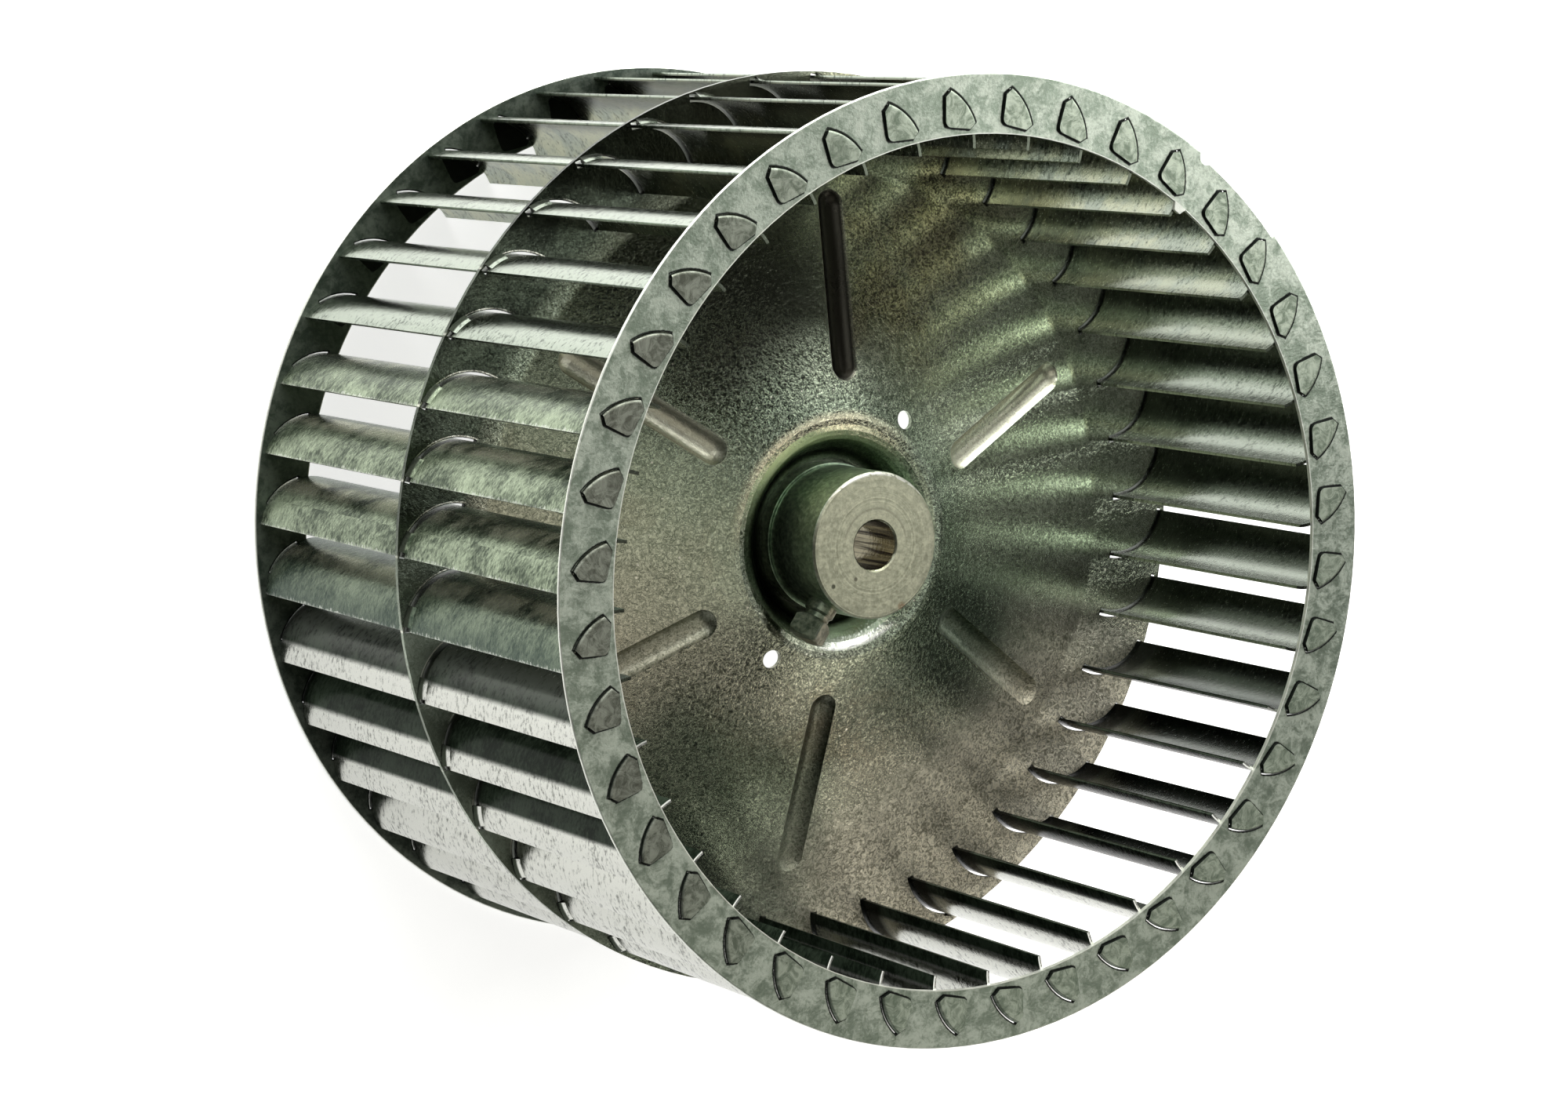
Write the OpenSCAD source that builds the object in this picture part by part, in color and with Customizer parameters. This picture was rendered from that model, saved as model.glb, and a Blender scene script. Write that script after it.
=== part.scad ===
// Forward-curved blower wheel that draws air in at both ends.
// The shaft axis is Z. The wheel stands on the folded tabs of its rear end ring, front inlet up.
// Forty curved blades run from ring to ring through slots in a pressed centre disc.

/* [Wheel] */
// Diameter over the end rings
wheel_d = 241.3; // [225:0.1:260]
// Width over the outer faces of the two end rings
wheel_w = 160; // [145:1:190]

/* [Blades] */
// Number of blades
blade_n = 40; // [32:1:42]
// Radius of a blade's convex face
blade_r = 14.8; // [14:0.1:15]
// Thickness of the blade strip
blade_t = 0.8; // [0.6:0.05:1]
// How far the centre of a blade's arc lies inside the wheel's rim
arc_inset = 16; // [15.8:0.1:16.4]
// How far that centre is turned ahead of the blade's spoke, in degrees
arc_lead = 4.7; // [4:0.1:5.5]
// Angle of the inner edge about the arc's centre, from the spoke
heel_a = -98; // [-104:1:-92]
// Angle of the outer edge about the arc's centre, from the spoke
tip_a = -7.5; // [-9:0.5:-7]

/* [End tabs] */
// Angle of a tab's middle about the arc's centre
tab_a = -51.6; // [-55:0.1:-48]
// Width of a tab
tab_w = 10.6; // [9:0.1:11]
// Length of a folded tab's straight sides, from the fold
tab_side = 3.4; // [3:0.1:4]
// Slant of the sides that run to the nose
tab_taper = 47; // [44:1:50]
// Radius of a tab's nose
tab_nose_r = 1.6; // [1.2:0.1:2]

/* [End rings] */
// Width of a ring's flat face
ring_band = 14.75; // [13:0.05:15.5]
// Thickness of a ring
ring_t = 1; // [0.8:0.1:1.4]
// Gap all round a tab in its ring slot
tab_gap = 0.3; // [0.1:0.05:0.35]
// Place of the front ring's cut edges round the wheel, in degrees
seam_a = 59.4; // [50:0.1:70]
// Width of the nib that the shear left in the bore at the seam
nib_w = 4; // [2:0.1:6]
// Height of the nib inside the ring's bore
nib_h = 1.8; // [0.5:0.1:2.5]
// Depth of the stretch of the front ring's rim that was sheared too deep
step_h = 1.2; // [0.4:0.1:1.4]
// Angle that this stretch spans, back from the seam
step_span = 14.5; // [6:0.5:20]
// Diameter of the bite in the rim at the seam's end of the stretch
bite_d = 4.4; // [3:0.2:5]

/* [Centre disc] */
// Thickness of the disc's sheet
disc_t = 1.2; // [1:0.1:1.6]
// How far the disc's rim lies inside the rings' rim
disc_inset = 0.4; // [0.3:0.05:0.6]
// Depth of the disc's flat rim face below the front ring's outer face
disc_depth = 79.8; // [70:0.1:90]
// Width of the flat rim zone
rim_zone = 25.25; // [23:0.25:30]
// Height of the cone's top edge over the rim zone
cone_h = 18.3; // [15:0.1:21]
// Radius where the cone meets the wall of the hub's well
crest_r = 27.8; // [27.2:0.1:29]
// Depth of the well below the cone's top edge
well_h = 10; // [8:0.1:11]
// Radius of the well at its floor
well_r = 21.7; // [21.5:0.1:22.5]
// Bend radius at the crest
crest_bend = 7; // [3:0.1:7.5]
// Bend radius at the floor of the well
well_bend = 3; // [1:0.1:3.2]
// Bend radius where the cone meets the rim zone
rim_bend = 8; // [4:0.5:12]
// Gap on each side of a blade in its disc slot
slot_gap = 0.6; // [0.2:0.05:0.7]
// Gap past a blade's outer edge in its disc slot
slot_end_gap = 0.35; // [0.2:0.05:0.4]
// Number of pressed grooves
groove_n = 6; // [3:1:8]
// Width of a groove
groove_w = 7.8; // [6:0.1:10]
// Depth of a groove
groove_h = 2; // [1:0.1:2.5]
// Radius at a groove's inner end
groove_from_r = 41; // [40:0.5:50]
// Radius at a groove's outer end
groove_to_r = 90; // [70:0.5:92]
// Diameter of the two gauge holes beside the crest
gauge_d = 4.8; // [3:0.1:6]
// Radius that the gauge holes lie on
gauge_at_r = 36.3; // [35:0.1:40]

/* [Blade stakes] */
// How far the burr staked out of a blade stands over the disc
stake_out = 1.2; // [1:0.1:1.3]
// Height of a stake
stake_h = 2.5; // [2:0.5:6]
// Angle where a stake starts, about the arc's centre
stake_a = -32; // [-36:1:-30]
// Angle that a stake spans
stake_span = 20; // [12:1:22]

/* [Hub] */
// Shaft bore
bore_d = 12.7; // [10:0.05:16]
// Diameter of the hub's barrel
hub_d = 38.1; // [36:0.1:39]
// Height of the hub's face over its seat on the disc
hub_h = 24.5; // [22:0.5:30]
// Diameter of the collar that sits on the disc
collar_d = 39; // [38.8:0.1:40]
// Height of the collar
collar_h = 4; // [3:0.1:5]
// Diameter of the spigot that passes through the disc
spigot_d = 28.6; // [26:0.1:30]
// Gap round the spigot in the disc
spigot_gap = 0.05; // [0.02:0.01:0.1]
// Diameter of the lip that is staked over behind the disc
lip_d = 35; // [33:0.1:36]
// Height of that lip
lip_h = 2.6; // [2:0.1:4]
// Width and depth of the groove over the collar
undercut = 0.5; // [0.3:0.1:0.8]
// Chamfer at the barrel's face
hub_chamfer = 0.6; // [0.3:0.1:1]
// Chamfer at the ends of the bore
bore_chamfer = 0.5; // [0.3:0.1:1]

/* [Set screw] */
// Diameter of the screw
screw_d = 7.94; // [6:0.01:8]
// Length below the head
screw_len = 12.7; // [11:0.1:14]
// Height of the square head
screw_head_h = 5.9; // [5:0.1:8]
// Width of the head across its flats
screw_head_w = 7.5; // [7:0.1:8]
// Height of the screw over the hub's seat
screw_up = 16.4; // [15:0.1:17]
// Radius of the head's underside as the wheel is shown
screw_at_r = 22.9; // [20.5:0.1:24]
// Place of the screw round the wheel, in degrees
screw_a = 239.5; // [230:0.5:250]
// Turn of the square head about the screw
screw_turn = 57; // [30:1:60]
// Gap round the screw in the hub
screw_gap = 0.06; // [0.03:0.01:0.1]
// Length of the neck below the head
neck_len = 1.2; // [0.8:0.1:1.5]
// How much the neck is thinner than the screw, all round
neck_cut = 0.6; // [0.3:0.1:1]
// Chamfer of the screw's point
point_chamfer = 1.2; // [0.6:0.1:1.5]
// Drop of the head's crowned corners
crown_h = 0.9; // [0.5:0.1:1.2]
// Rise of the chamfer under the head's corners
under_h = 1.2; // [0.5:0.1:1.5]
// How far the head's round end faces stand in from its flats
land_in = 0.3; // [0.1:0.1:0.4]

/* [Hidden] */
$fn = 96;
bend_steps = 6;
beyond = 1;

wheel_r = wheel_d / 2;
pitch_a = 360 / blade_n;

// Heights, with the rear tabs on the ground
rear_face_z = blade_t;
front_face_z = rear_face_z + wheel_w;
blade_z0 = rear_face_z + ring_t;
blade_z1 = front_face_z - ring_t;
rim_z = front_face_z - disc_depth;
crest_z = rim_z + cone_h;
seat_z = crest_z - well_h;

// Centre of the first blade's arc
arc_r = wheel_r - arc_inset;
arc_at = [arc_r * cos(arc_lead), arc_r * sin(arc_lead)];
blade_in_r = blade_r - blade_t;

// Tab outline: distances along its middle line from the arc's centre
side_u = blade_r - tab_side;
nose_u = side_u + (tab_nose_r - tab_w / 2 * cos(tab_taper)) / sin(tab_taper);

ring_in_r = wheel_r - ring_band;
disc_r = wheel_r - disc_inset;
foot_r = wheel_r - rim_zone;
disc_bore_r = spigot_d / 2 + spigot_gap;

// Front face of the centre disc, from its bore to its rim
disc_path = [
    [disc_bore_r, seat_z],
    [well_r, seat_z],
    [crest_r, crest_z],
    [foot_r, rim_z],
    [disc_r, rim_z],
];
disc_bends = [0, well_bend, crest_bend, rim_bend, 0];

// The groove's round section and its place on the cone
cone_fall = atan2(cone_h, foot_r - crest_r);
groove_r = (pow(groove_w / 2, 2) + pow(groove_h, 2)) / (2 * groove_h);
groove_lift = groove_r - groove_h;
groove_start = (groove_from_r - crest_r) / cos(cone_fall) + groove_w / 2;
groove_end = (groove_to_r - crest_r) / cos(cone_fall) - groove_w / 2;

slot_start_a = heel_a;
slot_end_a = tip_a + slot_end_gap / blade_r * 180 / PI;

hub_top_z = seat_z + hub_h;
collar_z = seat_z + collar_h;
lip_z = seat_z - disc_t;
hub_end_z = lip_z - lip_h;

function blade_name(i) = str("blade_", i < 9 ? "0" : "", i + 1);

function unit(v) = v / norm(v);
function left_of(v) = [-v.y, v.x];

// Arc that rounds the corner b of the path a, b, c, shifted to the left of the path
function bend(a, b, c, r, shift) =
    let (
        back = unit(a - b),
        on = unit(c - b),
        half = acos(back * on) / 2,
        turn = sign(cross(b - a, c - b)),
        centre = b + unit(back + on) * r / sin(half),
        spoke = b + back * r / tan(half) - centre,
        start = atan2(spoke.y, spoke.x),
        sweep = turn * (180 - 2 * half),
        arc_r = r - turn * shift
    )
    [for (k = [0 : bend_steps]) let (at = start + sweep * k / bend_steps)
        centre + arc_r * [cos(at), sin(at)]];

// The disc's path with its bends, shifted to the left
function disc_side(shift) =
    let (last = len(disc_path) - 1)
    concat(
        [disc_path[0] + shift * left_of(unit(disc_path[1] - disc_path[0]))],
        [for (i = [1 : last - 1])
            each bend(disc_path[i - 1], disc_path[i], disc_path[i + 1], disc_bends[i], shift)],
        [disc_path[last] + shift * left_of(unit(disc_path[last] - disc_path[last - 1]))]
    );

function reversed(list) = [for (i = [len(list) - 1 : -1 : 0]) list[i]];

// Puts a shape drawn about the arc's centre at each place that a blade takes
module at_blade(i) {
    rotate(i * pitch_a)
        translate(arc_at)
            children();
}

// Flat outline of a tab, its middle line along X from the arc's centre
module tab_outline() {
    flank = [nose_u - tab_nose_r * sin(tab_taper), tab_nose_r * cos(tab_taper)];
    half_w = tab_w / 2;
    polygon([
        [blade_r + beyond, half_w],
        [side_u, half_w],
        flank,
        [flank.x, -flank.y],
        [side_u, -half_w],
        [blade_r + beyond, -half_w],
    ]);
    translate([nose_u, 0])
        circle(r = tab_nose_r);
}

// Section of a tab: the stem in the ring, the round fold and the leaf laid over the ring
module tab_section() {
    translate([blade_in_r, 0])
        square([blade_t, ring_t]);
    translate([0, ring_t])
        square([blade_in_r, blade_t]);
    translate([blade_in_r, ring_t])
        intersection() {
            circle(r = blade_t);
            square(blade_t);
        }
}

// One tab, standing on the ring's inner face
module end_tab() {
    intersection() {
        rotate_extrude()
            tab_section();
        rotate(tab_a)
            translate([0, 0, -beyond])
                linear_extrude(height = ring_t + blade_t + 2 * beyond)
                    tab_outline();
    }
}

// Curved strip of the blade, heel to tip, between the rings
module blade_strip() {
    rotate_extrude(angle = tip_a - heel_a, start = heel_a)
        translate([blade_in_r, blade_z0])
            square([blade_t, blade_z1 - blade_z0]);
}

// Burr pushed out of the blade's back so that it bears on the disc
module stake() {
    rotate_extrude(angle = stake_span, start = stake_a)
        translate([blade_r, rim_z])
            polygon([
                [-blade_t / 2, 0],
                [stake_out, 0],
                [0, stake_h],
                [-blade_t / 2, stake_h],
            ]);
}

module blade(i) {
    color("#c3cac3")
        at_blade(i) {
            blade_strip();
            stake();
            translate([0, 0, blade_z1])
                end_tab();
            translate([0, 0, blade_z0])
                mirror([0, 0, 1])
                    end_tab();
        }
}

// Flat ring with a rounded rim and a slot for each tab, standing on its inner face
module end_ring() {
    difference() {
        rotate_extrude() {
            translate([ring_in_r, 0])
                square([ring_band - ring_t / 2, ring_t]);
            translate([wheel_r - ring_t / 2, ring_t / 2])
                circle(d = ring_t);
        }
        for (i = [0 : blade_n - 1])
            at_blade(i)
                rotate(tab_a)
                    tab_slot();
    }
}

module tab_slot() {
    slot_w = tab_w + 2 * tab_gap;
    intersection() {
        translate([0, 0, -beyond])
            difference() {
                cylinder(r = blade_r + tab_gap, h = ring_t + 2 * beyond);
                translate([0, 0, -beyond])
                    cylinder(r = blade_in_r - tab_gap, h = ring_t + 4 * beyond);
            }
        translate([0, -slot_w / 2, -2 * beyond])
            cube([blade_r + beyond, slot_w, ring_t + 4 * beyond]);
    }
}

// Torn nib in the ring's bore, narrower at its end
module nib() {
    root_r = ring_in_r + nib_h;
    linear_extrude(height = ring_t)
        polygon([
            [root_r, -nib_w / 2],
            [root_r, nib_w / 2],
            [ring_in_r, nib_w / 2],
            [ring_in_r - nib_h, nib_w / 4],
            [ring_in_r - nib_h, -nib_w / 4],
            [ring_in_r, -nib_w / 2],
        ]);
}

// What the shear took off the rim: the deep stretch and the bite at its end
module rim_step() {
    rotate_extrude(angle = step_span, start = -step_span)
        translate([wheel_r - step_h, -beyond])
            square([step_h + beyond, ring_t + 2 * beyond]);
    translate([wheel_r, 0, -beyond])
        cylinder(d = bite_d, h = ring_t + 2 * beyond);
}

module front_end_ring() {
    color("#b9c3ba")
        translate([0, 0, blade_z1]) {
            difference() {
                end_ring();
                rotate(seam_a)
                    rim_step();
            }
            rotate(seam_a)
                nib();
        }
}

module rear_end_ring() {
    color("#b9c3ba")
        translate([0, 0, blade_z0])
            mirror([0, 0, 1])
                end_ring();
}

// Places a shape on the cone, X down its slope and Z square to its face
module on_cone(i) {
    rotate(90 + i * 360 / groove_n)
        translate([crest_r, 0, crest_z])
            rotate([0, cone_fall, 0])
                children();
}

// Round-ended rod along the groove
module groove_rod(r) {
    translate([groove_start, 0, groove_lift])
        rotate([0, 90, 0])
            cylinder(r = r, h = groove_end - groove_start);
    translate([groove_start, 0, groove_lift])
        sphere(r = r);
    translate([groove_end, 0, groove_lift])
        sphere(r = r);
}

// Everything that lies behind the disc's front face, down to the grooves' backs
module behind_disc() {
    rotate_extrude()
        polygon(concat(
            disc_side(0),
            [[disc_r, rim_z - 2 * well_h], [disc_bore_r, rim_z - 2 * well_h]]
        ));
}

module disc_sheet() {
    rotate_extrude()
        polygon(concat(disc_side(0), reversed(disc_side(-disc_t))));
}

module centre_disc() {
    color("#8f8f7c")
        difference() {
            union() {
                disc_sheet();
                intersection() {
                    behind_disc();
                    for (i = [0 : groove_n - 1])
                        on_cone(i)
                            groove_rod(groove_r + disc_t);
                }
            }
            for (i = [0 : groove_n - 1])
                on_cone(i)
                    groove_rod(groove_r);
            for (i = [0 : blade_n - 1])
                at_blade(i)
                    disc_slot();
            for (side = [0, 180])
                rotate(seam_a + side)
                    translate([gauge_at_r, 0, seat_z - well_h])
                        cylinder(d = gauge_d, h = 3 * well_h);
        }
}

module disc_slot() {
    rotate_extrude(angle = slot_end_a - slot_start_a, start = slot_start_a)
        translate([blade_in_r - slot_gap, rim_z - disc_t - beyond])
            square([blade_t + 2 * slot_gap, disc_t + 2 * beyond]);
}

// Half section of the hub: barrel, collar, spigot through the disc and staked lip
module hub_section() {
    bore_r = bore_d / 2;
    hub_r = hub_d / 2;
    polygon([
        [bore_r + bore_chamfer, hub_top_z],
        [hub_r - hub_chamfer, hub_top_z],
        [hub_r, hub_top_z - hub_chamfer],
        [hub_r, collar_z + undercut],
        [hub_r - undercut, collar_z + undercut],
        [hub_r - undercut, collar_z],
        [collar_d / 2, collar_z],
        [collar_d / 2, seat_z],
        [spigot_d / 2, seat_z],
        [spigot_d / 2, lip_z],
        [lip_d / 2, lip_z],
        [lip_d / 2, lip_z - lip_h / 2],
        [lip_d / 2 - lip_h / 2, hub_end_z],
        [bore_r + bore_chamfer, hub_end_z],
        [bore_r, hub_end_z + bore_chamfer],
        [bore_r, hub_top_z - bore_chamfer],
    ]);
}

// Places a shape on the screw's axis, Z out of the hub
module on_screw_axis() {
    rotate(screw_a)
        translate([0, 0, seat_z + screw_up])
            rotate([0, 90, 0])
                children();
}

module hub() {
    color("#6f7064")
        difference() {
            rotate_extrude()
                hub_section();
            on_screw_axis()
                cylinder(r = screw_d / 2 + screw_gap, h = hub_d);
        }
}

// Square-headed screw with its head's underside at Z 0 and its point down
module screw_shape() {
    screw_r = screw_d / 2;
    flat_r = screw_head_w / 2;
    land_r = flat_r - land_in;
    chamfer_w = flat_r * sqrt(2) - land_r;
    wide = 1 + beyond / chamfer_w;
    rotate_extrude()
        polygon([
            [0, 0],
            [screw_r - neck_cut, 0],
            [screw_r - neck_cut, -neck_len],
            [screw_r, -neck_len - neck_cut],
            [screw_r, point_chamfer - screw_len],
            [screw_r - point_chamfer, -screw_len],
            [0, -screw_len],
        ]);
    intersection() {
        rotate(screw_turn)
            translate([-flat_r, -flat_r, 0])
                cube([screw_head_w, screw_head_w, screw_head_h]);
        rotate_extrude()
            polygon([
                [0, 0],
                [land_r, 0],
                [land_r + chamfer_w * wide, under_h * wide],
                [land_r + chamfer_w * wide, screw_head_h - crown_h * wide],
                [land_r, screw_head_h],
                [0, screw_head_h],
            ]);
    }
}

module set_screw() {
    color("#8d9188")
        on_screw_axis()
            translate([0, 0, screw_at_r])
                screw_shape();
}

for (i = [0 : blade_n - 1])
    blade(i);
front_end_ring();
rear_end_ring();
centre_disc();
hub();
set_screw();
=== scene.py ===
import math

import bpy
from mathutils import Matrix, Vector


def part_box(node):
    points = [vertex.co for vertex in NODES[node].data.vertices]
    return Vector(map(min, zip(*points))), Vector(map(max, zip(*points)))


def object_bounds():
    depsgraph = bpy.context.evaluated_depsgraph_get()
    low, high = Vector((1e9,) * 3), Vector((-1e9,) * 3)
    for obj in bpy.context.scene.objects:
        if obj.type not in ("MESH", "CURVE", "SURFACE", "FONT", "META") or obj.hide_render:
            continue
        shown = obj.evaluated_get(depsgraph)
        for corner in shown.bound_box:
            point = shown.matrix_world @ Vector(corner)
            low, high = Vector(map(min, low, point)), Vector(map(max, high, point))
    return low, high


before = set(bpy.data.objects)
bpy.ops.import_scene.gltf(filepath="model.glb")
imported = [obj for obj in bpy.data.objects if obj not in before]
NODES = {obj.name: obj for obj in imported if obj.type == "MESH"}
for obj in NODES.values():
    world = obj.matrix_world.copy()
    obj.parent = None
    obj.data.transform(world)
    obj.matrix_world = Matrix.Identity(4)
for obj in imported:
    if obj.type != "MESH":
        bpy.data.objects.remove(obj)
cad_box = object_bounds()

MM = 0.001
BLADES = sorted(name for name in NODES if name.startswith("blade_"))
PITCH = 2 * math.pi / len(BLADES)

# Where the parts lie, read from the frame
HUB_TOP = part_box("hub")[1]
HUB_R = HUB_TOP.y
RIM_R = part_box("rear_end_ring")[1].y
MID_Z = (cad_box[0].z + cad_box[1].z) / 2
RING_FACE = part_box("front_end_ring")[1].z - MID_Z

# The part's own sizes, and what follows from them
RING_BAND = 14.75 * MM
RING_IN_R = RIM_R - RING_BAND
BORE_R = 6.35 * MM
DISC_T = 1.2 * MM
DISC_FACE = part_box("centre_disc")[0].z + DISC_T
GROOVES = 6
GROOVE_PITCH = 2 * math.pi / GROOVES
GROOVE_FROM_R = 41 * MM
GROOVE_TO_R = 90 * MM
GROOVE_MID_R = (GROOVE_FROM_R + GROOVE_TO_R) / 2
GROOVE_HALF_W = 3.9 * MM
WELL_R = 21.7 * MM

# The crest's outer side, which its finish follows
CREST_R = 29.5 * MM

# The blades' arc, the angles of its heel and tip, and the tabs at its ends
BLADE_R = 14.8 * MM
ARC_AT_R = RIM_R - 16 * MM
ARC_AT_A = math.radians(4.7)
ARC_AT = (ARC_AT_R * math.cos(ARC_AT_A), ARC_AT_R * math.sin(ARC_AT_A))
HEEL_A = math.radians(-98)
TIP_A = math.radians(-7.5)
TAB_A = math.radians(-51.6)
TAB_W = 10.6 * MM
TAB_NOSE_R = 1.6 * MM
TAB_NOSE_ROUND = 0.9 * MM
TAB_TAPER = math.radians(47)
TAB_NOSE_U = 8.65 * MM

# Directions round the shaft, as right and up
UPPER_RIGHT = (0.6, 0.8)
TOP_RIGHT = (0.45, 0.9)
TOP_LEFT = (-0.45, 0.9)
LOW_LEFT = (-0.8, -0.6)
BOTTOM_LEFT = (-0.35, -0.94)
BOTTOM = (0.26, -0.965)
LOW_RIGHT = (0.55, -0.83)
ACROSS_SCREW = (0.862, -0.508)

# How far the patterns move on from one strip to the next
SHEET_SHIFT = 13 * MM
HATCH_SHIFT = 17 * MM
HATCH_START = 400 * MM

# Marks on the hub's face
LATHE_R = 9.6 * MM
DENT_AT = (-12.2 * MM, -10.5 * MM)
RUST_AT = (9.4 * MM, -15.6 * MM)

# Colours of the strips, dark and light where there are two
PALE_ZINC = ((0.085, 0.105, 0.082), (0.375, 0.42, 0.355))
# Lighter zinc of the low strips: a painted reflection
LIT_LOW_ZINC = ((0.13, 0.135, 0.12), (0.53, 0.54, 0.50))
# Painted shade in the hollows of the low strips
SHADED_LOW_HOLLOW = ((0.03, 0.046, 0.034), (0.08, 0.115, 0.085))
WARM_HOLLOW = ((0.11, 0.115, 0.075), (0.43, 0.44, 0.315))
OLIVE_ZINC = ((0.034, 0.05, 0.03), (0.315, 0.375, 0.26))
# Painted highlight on the left strips' backs, just past the heel
OLIVE_HIGHLIGHT = (0.70, 0.715, 0.53)
# Painted reflection of the dark rim at the left strips' heels
TEAL_HEEL_REFLECTION = (0.12, 0.18, 0.15)
DARK_TEAL = (0.03, 0.052, 0.043)
# Painted dark reflection on the low strips' backs
HEEL_DARK_REFLECTION = ((0.010, 0.016, 0.010), (0.040, 0.056, 0.038))
WORN_TIP = (0.84, 0.86, 0.80)
CUT_END = ((0.07, 0.08, 0.06), (0.92, 0.94, 0.88))
SHADE = (0.03, 0.036, 0.026)
# Painted shade near the disc on the low right strips
ROOT_SHADE = (0.006, 0.007, 0.005)
WORN_TAB = ((0.20, 0.25, 0.185), (0.56, 0.63, 0.51))
DARK_LEFT_TAB = ((0.10, 0.10, 0.08), (0.34, 0.36, 0.30))
# Painted shade on the tabs' edge faces
TAB_EDGE_SHADE = (0.02, 0.025, 0.02)

# Colours of the rings
FRONT_ZINC = ((0.26, 0.32, 0.245), (0.64, 0.71, 0.60))
# Painted shade: the rear ring's darker zinc
SHADED_REAR_ZINC = ((0.05, 0.07, 0.055), (0.17, 0.20, 0.165))
# Painted shade on the rings and tabs away from the upper right
RING_SHADE = (0.07, 0.085, 0.065)
CUT_ZINC = (0.86, 0.88, 0.80)
# Painted shadow in the gap round each tab
TAB_GAP_SHADOW = (0.008, 0.01, 0.008)

# Colours of the disc
GREEN_STEEL = ((0.135, 0.17, 0.12), (0.43, 0.50, 0.375))
# Painted light: warm steel where the disc is lit
LIT_WARM_STEEL = ((0.138, 0.145, 0.104), (0.49, 0.48, 0.375))
BARE_STEEL = ((0.24, 0.23, 0.165), (0.88, 0.83, 0.66))
BROWN_BLOOM = (0.34, 0.285, 0.19)
SPECK = (0.80, 0.78, 0.68)
MOSS = ((0.06, 0.075, 0.055), (0.24, 0.28, 0.20))
# Painted shade at the top left of the disc
TOP_LEFT_SHADE = (0.036, 0.036, 0.023)
# Beige crest: an oil tint and a painted highlight
CREST_TINT_AND_HIGHLIGHT = (0.62, 0.57, 0.40)
# Painted shadow in the well at the lower left
WELL_SHADOW = (0.014, 0.014, 0.01)
# Painted shade on the well's floor round the hub
WELL_FLOOR_SHADE = (0.02, 0.022, 0.016)
# Painted highlight on the well's lower edge
WELL_HIGHLIGHT = (0.94, 0.95, 0.88)
LOW_RIM = ((0.12, 0.145, 0.105), (0.36, 0.42, 0.33))
# Painted shade on the upper part of the rim at the left
SHADED_RIM = ((0.02, 0.025, 0.018), (0.09, 0.11, 0.08))
# Painted highlight on the lips of the disc's slots
SLOT_LIP_HIGHLIGHT = (0.76, 0.76, 0.66)
# Painted shadow in the slots round the strips
SLOT_GAP_SHADOW = (0.004, 0.005, 0.004)
# Painted light: a lighter grey-green copy for the upper right
LIT_GREY_GREEN = ((0.29, 0.325, 0.235), (0.73, 0.79, 0.60))
GOLD = ((0.08, 0.078, 0.05), (0.43, 0.41, 0.265))
# Painted highlight on the upper grooves
GROOVE_HIGHLIGHT = (0.66, 0.62, 0.50)
# Painted shade in the groove at the top
TOP_GROOVE_SHADE = (0.016, 0.015, 0.01)

# Colours of the hub and its screw
HUB_FACE = ((0.43, 0.44, 0.315), (0.64, 0.645, 0.475))
HUB_BARREL = ((0.32, 0.42, 0.31), (0.58, 0.72, 0.53))
HUB_BORE = ((0.035, 0.028, 0.02), (0.34, 0.31, 0.22))
# Painted highlight on the edge of the hub's face
HUB_EDGE_HIGHLIGHT = (0.93, 0.93, 0.84)
PIT = (0.10, 0.09, 0.07)
LATHE_MARK = (0.22, 0.21, 0.16)
DENT = (0.05, 0.05, 0.035)
RUST = (0.30, 0.16, 0.07)
SCREW_GREEN = ((0.09, 0.12, 0.08), (0.26, 0.30, 0.21))
SCREW_BEIGE = ((0.26, 0.25, 0.18), (0.62, 0.58, 0.44))

# The stage
FLOOR_SIZE = 60.0
FLOOR_COLOUR = (0.86, 0.86, 0.85, 1.0)
FLOOR_GLOW = (1.0, 1.0, 0.99, 1.0)
WORLD_COLOUR = (0.90, 0.92, 0.92, 1.0)
AIM = (0, 0, 80 * MM)
WHITE = (1, 1, 1)

# Soft light panels: name, place, size, watts, colour
PANELS = (
    ("top_softbox", (-0.1, 1.2, 0.32), (1.6, 0.6), 28.0, WHITE),
    ("table_glow", (0.0, -0.14, 1.2), (0.7, 0.7), 1.3, (1.0, 0.95, 0.86)),
    ("low_glow", (0.75, -0.62, 0.9), (0.45, 0.35), 1.6, (1.0, 0.96, 0.88)),
    ("front_softbox", (0.62, 0.16, 1.02), (0.3, 0.3), 0.9, WHITE),
    ("key_softbox", (0.8, 1.05, 0.34), (0.7, 0.5), 5.0, WHITE),
    ("groove_light", (0.62, 0.78, 0.91), (0.42, 0.34), 2.8, WHITE),
    ("crest_light", (0.06, 1.05, 0.86), (0.5, 0.3), 2.2, (1.0, 0.92, 0.78)),
    ("left_softbox", (-0.5, 0.62, 1.0), (0.6, 0.45), 3.0, WHITE),
    ("right_wall", (1.15, 0.42, 0.70), (0.5, 0.5), 3.5, WHITE),
    ("table_bounce", (-0.3, -1.4, 0.25), (1.8, 0.5), 3.0, WHITE),
)

# The photograph's view: the camera's place, its right and its down, and its lens in millimetres
CAMERA_AT = (-0.58081, 0.08938, 0.94607)
CAMERA_RIGHT = Vector((0.834461, 0.061184, 0.547660))
CAMERA_DOWN = Vector((-0.000038, -0.993811, 0.111086))
LENS = 91.38
SENSOR_W = 36.0


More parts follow.
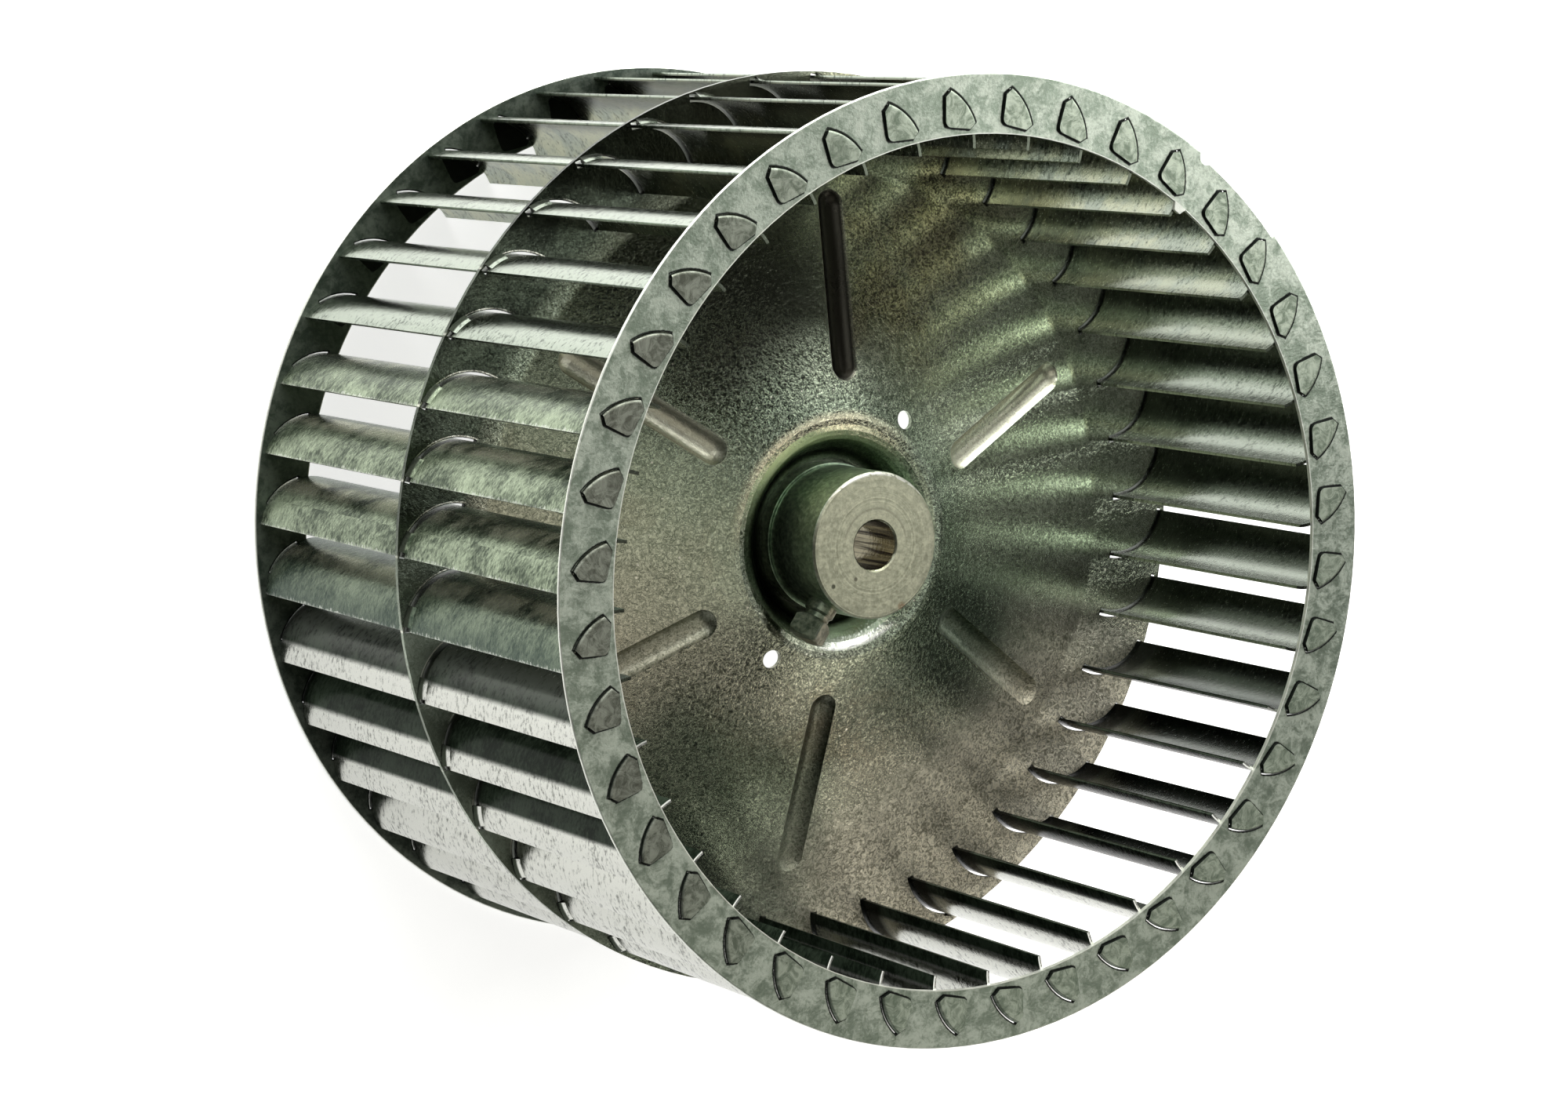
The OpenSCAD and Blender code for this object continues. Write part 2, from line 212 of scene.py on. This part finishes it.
class Value:
    """A socket of a shader: Python's operators on it add Math nodes."""

    def __init__(self, tree, socket):
        self.tree = tree
        self.socket = socket

    def node(self, kind, settings=None, out=0, **sockets):
        """Adds any node: its settings first, then the values or links of its sockets."""
        made = self.tree.nodes.new("ShaderNode" + kind)
        for name, value in (settings or {}).items():
            setattr(made, name, value)
        for name, value in sockets.items():
            key = int(name[1:]) if name[1:].isdigit() else name.replace("_", " ")
            if isinstance(value, Value):
                self.tree.links.new(value.socket, made.inputs[key])
            else:
                made.inputs[key].default_value = value
        return Value(self.tree, made.outputs[out])

    def math(self, operation, *others):
        """Adds a Math node on this value and the others."""
        sockets = {f"i{k}": value for k, value in enumerate((self, *others))}
        return self.node("Math", {"operation": operation}, **sockets)

    def __add__(self, other):
        return self.math("ADD", other)

    def __sub__(self, other):
        return self.math("SUBTRACT", other)

    def __rsub__(self, other):
        return self.math("MULTIPLY_ADD", -1.0, other)

    def __mul__(self, other):
        return self.math("MULTIPLY", other)

    def __truediv__(self, other):
        return self.math("DIVIDE", other)

    def __pow__(self, other):
        return self.math("POWER", other)

    __radd__ = __add__
    __rmul__ = __mul__

    def scaled(self, *factors):
        """A vector times a factor along each axis."""
        return self.node("VectorMath", {"operation": "MULTIPLY"}, i0=self, i1=factors)

    def step(self, low, high, to_low=0.0, to_high=1.0):
        """Goes smoothly from to_low at low to to_high at high."""
        return self.node("MapRange", {"interpolation_type": "SMOOTHSTEP"},
                         i0=self, i1=low, i2=high, i3=to_low, i4=to_high)

    def fade(self, low, high, start=1.0):
        """Falls smoothly from start at low to nothing at high."""
        return self.step(low, high, start, 0.0)

    def near(self, place, inner, outer, peak=1.0):
        """Is peak up to inner from a place, and nothing from outer on."""
        return (self - place).math("ABSOLUTE").fade(inner, outer, peak)

    def noise(self, size, detail=3.0, rough=0.5, distort=0.0):
        """Cloudy pattern on this vector, its patches about size across."""
        return self.node("TexNoise", {"noise_dimensions": "3D"}, Vector=self, Scale=1 / size,
                         Detail=detail, Roughness=rough, Distortion=distort)

    def cells(self, size):
        """Distance from points strewn over this vector, about size apart."""
        return self.node("TexVoronoi", {"feature": "F1"}, Vector=self, Scale=1 / size)

    def mix(self, first, second):
        """Colour that goes from first to second as this value goes from 0 to 1."""
        return self.node("Mix", {"data_type": "RGBA"}, out=2, i0=self,
                         i6=first if isinstance(first, Value) else (*first, 1.0),
                         i7=second if isinstance(second, Value) else (*second, 1.0))


class Finish:
    """A procedural metal finish on the object's own coordinates."""

    def __init__(self, name, metallic=1.0):
        self.material = bpy.data.materials.new(name)
        self.material.use_nodes = True
        tree = self.material.node_tree
        self.shader = tree.nodes["Principled BSDF"]
        self.shader.inputs["Metallic"].default_value = metallic
        self.at = Value(tree, None).node("TexCoord", out=3)
        axes = (self.at.node("SeparateXYZ", out=k, Vector=self.at) for k in range(3))
        self.x, self.y, self.z = axes
        self.r = (self.x * self.x + self.y * self.y).math("SQRT")

    def feed(self, name, value):
        """Links or sets one socket of the shader."""
        if isinstance(value, Value):
            value.tree.links.new(value.socket, self.shader.inputs[name])
        else:
            self.shader.inputs[name].default_value = value

    def relief(self, height, depth):
        """Bump of the given depth in metres."""
        self.feed("Normal", height.node("Bump", Height=height, Distance=depth))

    def toward(self, right, up):
        """How squarely a point lies in one direction from the shaft: 1 there, -1 opposite."""
        return (self.x * right + self.y * up) / self.r

    def spot(self, place, inner, outer, peak):
        """A round spot at a place on the hub's face."""
        squared = (self.x - place[0]) ** 2 + (self.y - place[1]) ** 2
        return squared.fade(inner ** 2, outer ** 2, peak)

    def facing_along(self):
        """How far the surface faces along the shaft: 1 on a flat face, 0 on a side."""
        normal = self.at.node("NewGeometry", out=1)
        return normal.node("SeparateXYZ", out=2, Vector=normal).math("ABSOLUTE")

    def find_blade(self):
        """Sets the place about the nearest blade's arc: its number, radius and angle."""
        angle = self.y.math("ARCTAN2", self.x)
        self.number = (angle / PITCH).math("ROUND")
        turn = angle - self.number * PITCH
        self.arc_x = self.r * turn.math("COSINE") - ARC_AT[0]
        self.arc_y = self.r * turn.math("SINE") - ARC_AT[1]
        self.arc_r = (self.arc_x * self.arc_x + self.arc_y * self.arc_y).math("SQRT")
        self.arc_a = self.arc_y.math("ARCTAN2", self.arc_x)

    def tab_edge(self):
        """Distance outside the nearest tab's outline, less than nothing inside it."""
        along = self.arc_x * math.cos(TAB_A) + self.arc_y * math.sin(TAB_A)
        across = self.arc_y * math.cos(TAB_A) - self.arc_x * math.sin(TAB_A)
        across = (across * across + TAB_NOSE_ROUND ** 2).math("SQRT")
        flank = (along - TAB_NOSE_U) * -math.sin(TAB_TAPER) + across * math.cos(TAB_TAPER)
        side = (across - TAB_W / 2).math("MAXIMUM", flank - TAB_NOSE_R)
        return side.math("MAXIMUM", self.arc_r - BLADE_R)

    def lay_shade_off_top_right(self, colour):
        """Painted shade on a ring's face and its tabs, all but the upper right."""
        return self.toward(*TOP_RIGHT).fade(0.55, 1.0, 0.36).mix(colour, RING_SHADE)


class StripFinish(Finish):
    """The blades' zinc-coated strip, with each strip's place in the wheel."""

    def __init__(self):
        super().__init__("galvanised_strip")
        self.find_blade()
        self.find_zones()
        self.draw_patterns()

    def find_zones(self):
        """Sets masks: where a strip is in the wheel, its outside and its hollow, its tabs."""
        self.side = self.x / self.r
        self.height = self.y / self.r
        self.low = self.height.fade(-0.33, -0.2)
        self.left = self.side.fade(-0.97, -0.90) * (1.0 - self.low)
        self.outside = self.arc_r.step(BLADE_R - 0.5 * MM, BLADE_R - 0.3 * MM)
        self.hollow = self.outside.fade(0.0, 1.0)
        self.past_heel = self.arc_a - HEEL_A
        self.flat = self.facing_along()
        from_middle = (self.z - MID_Z).math("ABSOLUTE")
        self.tab = from_middle.step(RING_FACE - 0.3 * MM, RING_FACE + 0.05 * MM)
        reach = self.height.step(-0.88, -0.52, 0.22, 1.2)
        # Where the low strips' backs get a painted dark reflection, from the heel on
        self.dark_reflection = self.low * self.outside * (reach - self.past_heel).step(-0.07, 0.05)
        right = self.side.step(0.0, 0.3)
        # Painted shade near the disc on the low right strips
        self.root_shade = self.z.near(DISC_FACE, 6 * MM, 11 * MM) * self.height.fade(-0.4, -0.1) * right

    def unrolled(self, lean, shift):
        """Place on the strip laid flat, leaning a little, moved on by the shift."""
        run = self.arc_a * BLADE_R
        return run.node("CombineXYZ", X=run + self.z * lean, Y=self.z - run * lean, Z=shift)

    def draw_patterns(self):
        """Sets the pits, two ways of brush strokes, the tip's teeth and the smudges."""
        sheet = self.unrolled(0.0, self.number * SHEET_SHIFT)
        slant = self.unrolled(0.3, self.number * SHEET_SHIFT)
        hatch = self.unrolled(-0.5, self.number * HATCH_SHIFT + HATCH_START)
        self.pits = sheet.scaled(0.65, 1.0, 1.0).noise(1.1 * MM, detail=4.0, rough=0.7)
        self.strokes = slant.scaled(0.45, 1.0, 1.0).noise(0.7 * MM, detail=3.0, rough=0.7)
        self.teeth = slant.scaled(0.4, 1.0, 1.0).noise(0.8 * MM, detail=2.0, rough=0.7)
        self.crossed = hatch.scaled(0.5, 1.0, 1.0).noise(0.9 * MM, detail=2.0, rough=0.6)
        self.smudge = sheet.noise(12 * MM, detail=3.0, rough=0.6)

    def pale_zinc(self):
        """Pitted zinc, lighter on the low strips as a painted reflection, with painted shade in
        the hollows; warm in the hollows at the top.
        """
        pitted = (self.pits + self.smudge * 0.3).step(0.44, 0.66)
        zinc = self.low.mix(pitted.mix(*PALE_ZINC), pitted.mix(*LIT_LOW_ZINC))
        shaded_low_hollow = self.smudge.step(0.35, 0.65).mix(*SHADED_LOW_HOLLOW)
        zinc = (self.low * self.hollow).mix(zinc, shaded_low_hollow)
        # Painted shade in every strip's hollow
        zinc = (self.hollow * 0.22).mix(zinc, SHADE)
        warm = self.hollow * 0.75 * self.height.step(0.4, 0.9) * self.smudge.step(0.38, 0.6)
        return warm.mix(zinc, pitted.mix(*WARM_HOLLOW))

    def olive_zinc(self):
        """Brushed olive zinc of the left strips' backs: a painted teal reflection at the heel,
        then a painted highlight.
        """
        tone = (self.strokes * 0.55 + self.crossed * 0.45 + self.smudge * 0.7).step(0.66, 1.06)
        # Where the painted highlight lies along each left strip
        sheen_highlight = self.past_heel.step(0.4, 0.55) * self.past_heel.fade(0.65, 0.95)
        zinc = (sheen_highlight * self.smudge.step(0.35, 0.6)).mix(tone.mix(*OLIVE_ZINC), OLIVE_HIGHLIGHT)
        # Painted teal reflection near the heel
        zinc = self.past_heel.fade(0.15, 0.5, 0.7).mix(zinc, TEAL_HEEL_REFLECTION)
        return self.height.fade(-0.24, -0.04, 0.8).mix(zinc, DARK_TEAL)

    def lay_heel_reflection(self, zinc):
        """Painted dark reflection on the low strips' backs, from the heel on."""
        reflected_dark = (self.pits + self.smudge).step(0.8, 1.2).mix(*HEEL_DARK_REFLECTION)
        return self.dark_reflection.mix(zinc, reflected_dark)

    def lay_worn_tip(self, zinc):
        """Ragged bright edge at the tip of the left strips."""
        to_tip = (TIP_A - self.arc_a) * BLADE_R
        fringe = (to_tip - self.teeth.step(0.4, 0.7) * (0.9 * MM)).fade(-0.1 * MM, 0.15 * MM)
        fringe = fringe * self.smudge.step(0.35, 0.6, 0.1, 0.35) * self.left
        return fringe.mix(zinc, WORN_TIP)

    def lay_cut_ends(self, zinc):
        """Sheared end faces, bright on the low strips."""
        cut = self.height.fade(-0.5, -0.3).mix(*CUT_END)
        return self.flat.step(0.4, 0.8).mix(zinc, cut)

    def lay_shade(self, zinc):
        """Painted shade where a strip passes the disc, in its tip's hollow, and near the disc on
        the low right strips.
        """
        hollow_tip = self.past_heel.step(0.55, 0.95) * self.hollow * 0.75
        root = self.z.near(DISC_FACE, 1.2 * MM, 1.7 * MM)
        zinc = hollow_tip.math("MAXIMUM", root).mix(zinc, SHADE)
        return self.root_shade.mix(zinc, ROOT_SHADE)

    def tab_face(self):
        """Worn zinc of a folded tab, darker at the left, with painted shade off the upper right
        and on its edges.
        """
        worn = self.at.noise(3.5 * MM, detail=5.0, rough=0.75, distort=1.0).step(0.36, 0.64)
        face = self.side.fade(-0.9, -0.3).mix(worn.mix(*WORN_TAB), worn.mix(*DARK_LEFT_TAB))
        return self.flat.fade(0.15, 0.75).mix(self.lay_shade_off_top_right(face), TAB_EDGE_SHADE)


class DiscFinish(Finish):
    """The disc's oiled pressed steel, with its zones, grooves and slots."""

    def __init__(self):
        super().__init__("pressed_disc")
        self.find_blade()
        self.draw_patterns()
        self.find_zones()

    def draw_patterns(self):
        """Sets the leafy grain, the coarse bare grain, the clouds and the bloom."""
        self.leafy = self.at.noise(1.1 * MM, detail=3.0, rough=0.7, distort=1.6)
        self.coarse = self.at.noise(1.6 * MM, detail=3.0, rough=0.75, distort=2.0)
        self.cloud = self.at.noise(35 * MM, detail=4.0, rough=0.55)
        self.bloom = self.at.noise(22 * MM, detail=5.0, rough=0.65, distort=0.4)

    def find_zones(self):
        """Sets the directions and masks that the layers read."""
        self.side = self.x / self.r
        self.height = self.y / self.r
        self.far_left = self.side.fade(-0.6, -0.2)
        self.low_right = self.toward(*LOW_RIGHT)
        uneven_r = self.r + self.cloud * (30 * MM)
        self.bare = self.low_right.step(0.55, 0.88) * uneven_r.step(65 * MM, 105 * MM)
        left_half = self.x.fade(-20 * MM, 35 * MM)
        # Painted shade at the top left of the disc
        self.top_left_shade = self.height.step(0.3, 0.85) * self.r.step(35 * MM, 60 * MM) * left_half
        self.upper_right = self.toward(*UPPER_RIGHT).step(0.3, 0.7) * self.r.step(30 * MM, 50 * MM)
        self.outer = self.r.step(RING_IN_R - 10 * MM, RING_IN_R - 2 * MM) * self.far_left
        past_heel = self.arc_a.step(HEEL_A - 0.04, HEEL_A)
        self.slot_run = past_heel * self.arc_a.fade(TIP_A, TIP_A + 0.04)
        self.groove = self.find_groove()

    def find_groove(self):
        """The six round-ended grooves, the first at 30 degrees."""
        turn = (self.y.math("ARCTAN2", self.x) - GROOVE_PITCH / 2) / GROOVE_PITCH
        turn = (turn - turn.math("ROUND")) * GROOVE_PITCH
        half_run = (GROOVE_TO_R - GROOVE_FROM_R) / 2 - GROOVE_HALF_W
        past = ((self.r - GROOVE_MID_R).math("ABSOLUTE") - half_run).math("MAXIMUM", 0.0)
        off = ((self.r * turn.math("SINE")) ** 2 + past * past).math("SQRT")
        return off.fade(GROOVE_HALF_W - 0.7 * MM, GROOVE_HALF_W + 0.4 * MM)

    def lay_steel(self):
        """Grey-green steel, warm at the lower left as painted light, bare at the lower right, with
        specks.
        """
        slope = self.x * 0.5 + self.y + self.cloud * (30 * MM)
        # Painted light: where the warm, lit steel lies, at the lower left and low right
        warm = slope.fade(-40 * MM, 12 * MM) * self.y.step(-85 * MM, -60 * MM)
        warm = warm + self.low_right.step(0.8, 0.93) * self.r.step(72 * MM, 88 * MM)
        tone = (self.leafy * 0.9 + self.cloud * 0.25).step(0.40, 0.76)
        steel = warm.mix(tone.mix(*GREEN_STEEL), tone.mix(*LIT_WARM_STEEL))
        steel = (self.bloom.step(0.5, 0.68, 0.0, 0.4) * warm).mix(steel, BROWN_BLOOM)
        steel = self.bare.mix(steel, self.coarse.step(0.38, 0.62).mix(*BARE_STEEL))
        return self.at.cells(4.2 * MM).fade(0.06, 0.1, 0.5).mix(steel, SPECK)

    def lay_moss_and_shade(self, steel):
        """Mossy green at the bottom and painted shade at the top left."""
        moss = self.toward(*BOTTOM_LEFT).step(0.84, 0.97) * self.r.step(45 * MM, 65 * MM) * 0.85
        steel = moss.mix(steel, self.leafy.step(0.35, 0.65).mix(*MOSS))
        return (self.top_left_shade * 0.85).mix(steel, TOP_LEFT_SHADE)

    def lay_well(self, steel):
        """Crest at the top left with a beige tint and a painted highlight, painted shadow and
        shade in the well, and a painted highlight on its lower edge.
        """
        # Beige tint and painted highlight on the crest at the top left
        crest = self.r.near(CREST_R, 2 * MM, 5 * MM) * self.toward(*TOP_LEFT).step(0.3, 0.8)
        steel = (crest * self.cloud.step(0.35, 0.6, 0.4, 0.9)).mix(steel, CREST_TINT_AND_HIGHLIGHT)
        # Painted shadow in the well at the lower left
        well_shadow = self.r.fade(CREST_R - 3 * MM, CREST_R - MM) * self.toward(*LOW_LEFT).step(-0.1, 0.6)
        steel = (well_shadow * 0.85).mix(steel, WELL_SHADOW)
        # Painted shade on the well's floor round the hub
        deep = self.r.fade(WELL_R + 1.1 * MM, WELL_R + 2.5 * MM)
        steel = (deep * 0.8).mix(steel, WELL_FLOOR_SHADE)
        # Painted highlight on the well's lower edge
        well_highlight = self.r.fade(CREST_R - MM, CREST_R) * self.toward(*BOTTOM).step(0.88, 0.97)
        return ((1.0 - deep) * well_highlight).mix(steel, WELL_HIGHLIGHT)

    def lay_rim(self, steel):
        """Rim at the left with painted shade above, paler below, and painted highlights on the
        lips of its slots.
        """
        tone = (self.bloom + self.leafy * 0.5).step(0.6, 0.95)
        # Painted shade on the rim above, paler below
        rim = self.height.step(-0.4, 0.1).mix(tone.mix(*LOW_RIM), tone.mix(*SHADED_RIM))
        steel = self.outer.mix(steel, rim)
        # Painted highlight on the lips of the slots
        lip_highlight = self.arc_r.near(BLADE_R + 0.95 * MM, 0.08 * MM, 0.24 * MM) * self.slot_run
        return (lip_highlight * self.far_left * self.bloom.step(0.4, 0.6)).mix(steel, SLOT_LIP_HIGHLIGHT)

    def lay_upper_right(self, steel):
        """Lighter grey-green leaves of the upper right as painted light, golden near the top."""
        leaves = self.leafy.step(0.4, 0.62)
        steel = (self.upper_right * (1.0 - self.top_left_shade) * 0.6).mix(steel, leaves.mix(*LIT_GREY_GREEN))
        gold = self.height.step(0.72, 0.9) * self.side.step(-0.1, 0.08)
        gold = gold * self.r.step(40 * MM, 55 * MM)
        return (gold * self.cloud.step(0.4, 0.6, 0.4, 1.0)).mix(steel, leaves.mix(*GOLD))

    def lay_grooves(self, steel):
        """Painted highlight on the upper grooves, and painted shade in the one at the top."""
        steel = (self.groove * self.height.step(0.0, 0.4) * 0.5).mix(steel, GROOVE_HIGHLIGHT)
        return (self.groove * self.height.step(0.8, 0.95)).mix(steel, TOP_GROOVE_SHADE)

    def lay_slots(self, steel):
        """Painted shadow in the gap round each strip where it passes the disc."""
        gap_shadow = self.arc_r.near(BLADE_R - 0.4 * MM, 0.95 * MM, 1.15 * MM) * self.slot_run
        return gap_shadow.mix(steel, SLOT_GAP_SHADOW)


class HubFinish(Finish):
    """The hub's turned steel."""

    def __init__(self):
        super().__init__("turned_hub")
        self.height = self.y / self.r
        turned = self.r.node("CombineXYZ", X=self.r, Y=self.z * 0.6, Z=0.0)
        self.rings = turned.noise(0.5 * MM, detail=2.0)
        self.grain = self.at.noise(1.3 * MM, detail=4.0, rough=0.65)
        self.face = self.z.step(HUB_TOP.z - 0.7 * MM, HUB_TOP.z - 0.3 * MM)
        self.bore = self.r.fade(BORE_R + 0.1 * MM, BORE_R + 0.3 * MM)

    def lay_steel(self):
        """Mottled face with pits, green-grey barrel and a streaked bore."""
        face = (self.rings * 0.25 + self.grain * 0.75).step(0.35, 0.7).mix(*HUB_FACE)
        face = self.at.cells(9 * MM).fade(0.05, 0.09, 0.7).mix(face, PIT)
        streak = self.at.scaled(1.0, 1.0, 0.04).noise(1.6 * MM, detail=3.0, rough=0.6)
        barrel = self.grain.step(0.35, 0.7).mix(*HUB_BARREL)
        barrel = self.bore.mix(barrel, streak.step(0.42, 0.58).mix(*HUB_BORE))
        return self.face.mix(barrel, face)

    def lay_marks_and_highlight(self, steel):
        """A lathe ring and a dent on the face, rust near its edge, and a painted highlight on the
        edge, widest at the top.
        """
        lathe = self.r.near(LATHE_R, 0.15 * MM, 0.4 * MM, 0.45) * self.height.step(-0.2, 0.6)
        steel = (lathe * self.face).mix(steel, LATHE_MARK)
        dent = self.spot(DENT_AT, 0.316 * MM, 0.775 * MM, 0.8) * self.face
        steel = dent.mix(steel, DENT)
        rust = self.spot(RUST_AT, 0.632 * MM, 1.414 * MM, 0.7)
        steel = (rust * self.grain.step(0.4, 0.55)).mix(steel, RUST)
        highlight_w = self.height.step(0.5, 0.95, 0.55, 1.5) * MM
        edge = (self.r - HUB_R + highlight_w).step(0.0, 0.2 * MM) * self.face
        return (edge * self.grain.step(0.3, 0.5)).mix(steel, HUB_EDGE_HIGHLIGHT)


def blade_finish():
    """Pale pitted strips, olive and brushed at the left, with a painted dark reflection and
    painted shade below.
    """
    strip = StripFinish()
    zinc = (strip.left * strip.outside).mix(strip.pale_zinc(), strip.olive_zinc())
    for lay in (strip.lay_heel_reflection, strip.lay_worn_tip, strip.lay_cut_ends, strip.lay_shade):
        zinc = lay(zinc)
    strip.feed("Base Color", strip.tab.mix(zinc, strip.tab_face()))
    rough = strip.pits.step(0.3, 0.7, 0.13, 0.24)
    strip.feed("Roughness", strip.tab * 0.2 + strip.left * 0.08 + strip.hollow * 0.04 + rough)
    dull = (strip.left * strip.outside).math("MAXIMUM", strip.tab) * 0.3
    painted_dark = strip.dark_reflection.math("MAXIMUM", strip.root_shade) * 0.92
    strip.feed("Metallic", 1.0 - dull.math("MAXIMUM", painted_dark))
    strip.feed("Specular IOR Level", 0.03)
    brushed = (strip.strokes * 0.9 + strip.crossed * 0.6) * strip.left
    strip.relief(brushed + strip.pits * 0.7, 0.08 * MM)
    return strip.material


def ring_finish(name, tones):
    """Dull mottled zinc with bright cut edges, painted shade off the upper right, and a painted
    shadow in the crevice round each tab.
    """
    ring = Finish(name, metallic=0.7)
    ring.find_blade()
    grains = ring.at.noise(4.2 * MM, detail=5.0, rough=0.72, distort=0.4)
    fine = ring.at.noise(0.8 * MM, detail=2.0, rough=0.6)
    cloud = ring.at.noise(18 * MM, detail=3.0)
    tone = (grains * 0.85 + fine * 0.2 + cloud * 0.2).step(0.50, 0.76)
    zinc = ring.lay_shade_off_top_right(tone.mix(*tones))
    rim = ring.r.step(RIM_R - 0.4 * MM, RIM_R - 0.15 * MM)
    bore = ring.r.fade(RING_IN_R + 0.1 * MM, RING_IN_R + 0.3 * MM)
    zinc = (rim + bore).math("MINIMUM", 0.8).mix(zinc, CUT_ZINC)
    crevice = ring.tab_edge() + (fine - 0.5) * (0.3 * MM)
    ring.feed("Base Color", crevice.fade(0.50 * MM, 0.78 * MM).mix(zinc, TAB_GAP_SHADOW))
    ring.feed("Roughness", grains.step(0.3, 0.7, 0.30, 0.46))
    ring.relief(grains * 0.6 + fine * 0.7, 0.12 * MM)
    return ring.material


def disc_finish():
    """Oiled steel with a leafy grain, laid on from the sheet to its painted light and shade, and
    its slots.
    """
    disc = DiscFinish()
    steel = disc.lay_steel()
    layers = (disc.lay_moss_and_shade, disc.lay_well, disc.lay_rim,
              disc.lay_upper_right, disc.lay_grooves, disc.lay_slots)
    for lay in layers:
        steel = lay(steel)
    disc.feed("Base Color", steel)
    dull = (disc.outer * disc.height.fade(-0.4, 0.1)).math("MAXIMUM", disc.bare)
    rough = (disc.leafy * 0.4 + disc.cloud * 0.6).step(0.35, 0.7, 0.12, 0.2)
    disc.feed("Roughness", rough + disc.groove * 0.2 - disc.upper_right * 0.06 + dull * 0.2)
    disc.feed("Metallic", 1.0 - (dull * 0.45).math("MAXIMUM", disc.upper_right * 0.22))
    leaves = disc.leafy * (1.0 - disc.bare) * (1.0 - disc.upper_right * 0.5)
    disc.relief(leaves + disc.coarse * disc.bare * 1.6, 0.1 * MM)
    return disc.material


def hub_finish():
    """Turned steel: a soft mottle, marks and a painted highlight on the face, a green-grey barrel.
    """
    hub = HubFinish()
    hub.feed("Base Color", hub.lay_marks_and_highlight(hub.lay_steel()))
    rough = (hub.grain * 0.6 + hub.rings * 0.4).step(0.3, 0.7, 0.28, 0.42)
    hub.feed("Roughness", hub.bore * -0.2 + rough)
    hub.relief(hub.rings * 0.4 + hub.grain * 0.7, 0.06 * MM)
    return hub.material


def screw_finish():
    """Plated steel, dull green on one half of the screw and beige on the other."""
    screw = Finish("plated_screw", metallic=0.8)
    wear = screw.at.noise(1.6 * MM, detail=4.0, rough=0.65)
    worn = wear.step(0.35, 0.7)
    across = screw.x * ACROSS_SCREW[0] + screw.y * ACROSS_SCREW[1]
    colour = across.step(-0.3 * MM, 0.3 * MM).mix(worn.mix(*SCREW_GREEN), worn.mix(*SCREW_BEIGE))
    screw.feed("Base Color", colour)
    screw.feed("Roughness", wear.step(0.3, 0.7, 0.34, 0.5))
    screw.relief(wear, 0.08 * MM)
    return screw.material


def floor_finish():
    """Pale, matt and plain, with a glow that keeps it white."""
    material = bpy.data.materials.new("pale_floor")
    material.use_nodes = True
    sockets = material.node_tree.nodes["Principled BSDF"].inputs
    sockets["Base Color"].default_value = FLOOR_COLOUR
    sockets["Roughness"].default_value = 0.9
    sockets["Emission Color"].default_value = FLOOR_GLOW
    sockets["Emission Strength"].default_value = 0.75
    return material


def paint(name, material):
    """Gives a CAD node its finish."""
    slots = NODES[name].data.materials
    slots.clear()
    slots.append(material)


def paint_wheel():
    """Gives every piece of the wheel its finish."""
    strip = blade_finish()
    for blade in BLADES:
        paint(blade, strip)
    paint("front_end_ring", ring_finish("galvanised_ring", FRONT_ZINC))
    # The rear ring gets a darker copy of the zinc as painted shade
    paint("rear_end_ring", ring_finish("shaded_rear_ring", SHADED_REAR_ZINC))
    paint("centre_disc", disc_finish())
    paint("hub", hub_finish())
    paint("set_screw", screw_finish())


def add_floor():
    """Pale floor that the wheel's rear ring stands on."""
    bpy.ops.object.select_all(action="DESELECT")
    bpy.ops.mesh.primitive_plane_add(size=FLOOR_SIZE, location=(0, 0, 0))
    plane = bpy.context.object
    plane.name = "floor"
    plane.data.materials.append(floor_finish())


def add_panel(name, place, size, watts, colour):
    """Soft light panel that faces the middle of the wheel."""
    light = bpy.data.lights.new(name, "AREA")
    light.shape = "RECTANGLE"
    light.size, light.size_y = size
    light.energy = watts
    light.color = colour
    lamp = bpy.data.objects.new(name, light)
    bpy.context.collection.objects.link(lamp)
    lamp.location = place
    lamp.rotation_euler = (Vector(AIM) - Vector(place)).to_track_quat("-Z", "Y").to_euler()


def light_studio():
    """Soft panels in a dim, pale grey world."""
    world = bpy.data.worlds.new("studio")
    world.use_nodes = True
    background = world.node_tree.nodes["Background"]
    background.inputs["Color"].default_value = WORLD_COLOUR
    background.inputs["Strength"].default_value = 0.05
    for row in PANELS:
        add_panel(*row)
    scene = bpy.context.scene
    scene.world = world
    scene.view_settings.view_transform = "Standard"
    scene.view_settings.look = "None"
    scene.view_settings.exposure = 0.0


def add_camera():
    """From the left and a little above, the shaft 34 degrees off the line of sight."""
    data = bpy.data.cameras.new("photo_view")
    data.sensor_fit = "HORIZONTAL"
    data.sensor_width = SENSOR_W
    data.lens = LENS
    data.clip_start = 10 * MM
    view = bpy.data.objects.new("photo_view", data)
    bpy.context.collection.objects.link(view)
    forward = CAMERA_RIGHT.cross(CAMERA_DOWN)
    turn = Matrix((CAMERA_RIGHT, -CAMERA_DOWN, -forward)).transposed()
    view.matrix_world = Matrix.Translation(CAMERA_AT) @ turn.to_4x4()
    bpy.context.scene.camera = view


paint_wheel()
add_floor()
light_studio()
add_camera()
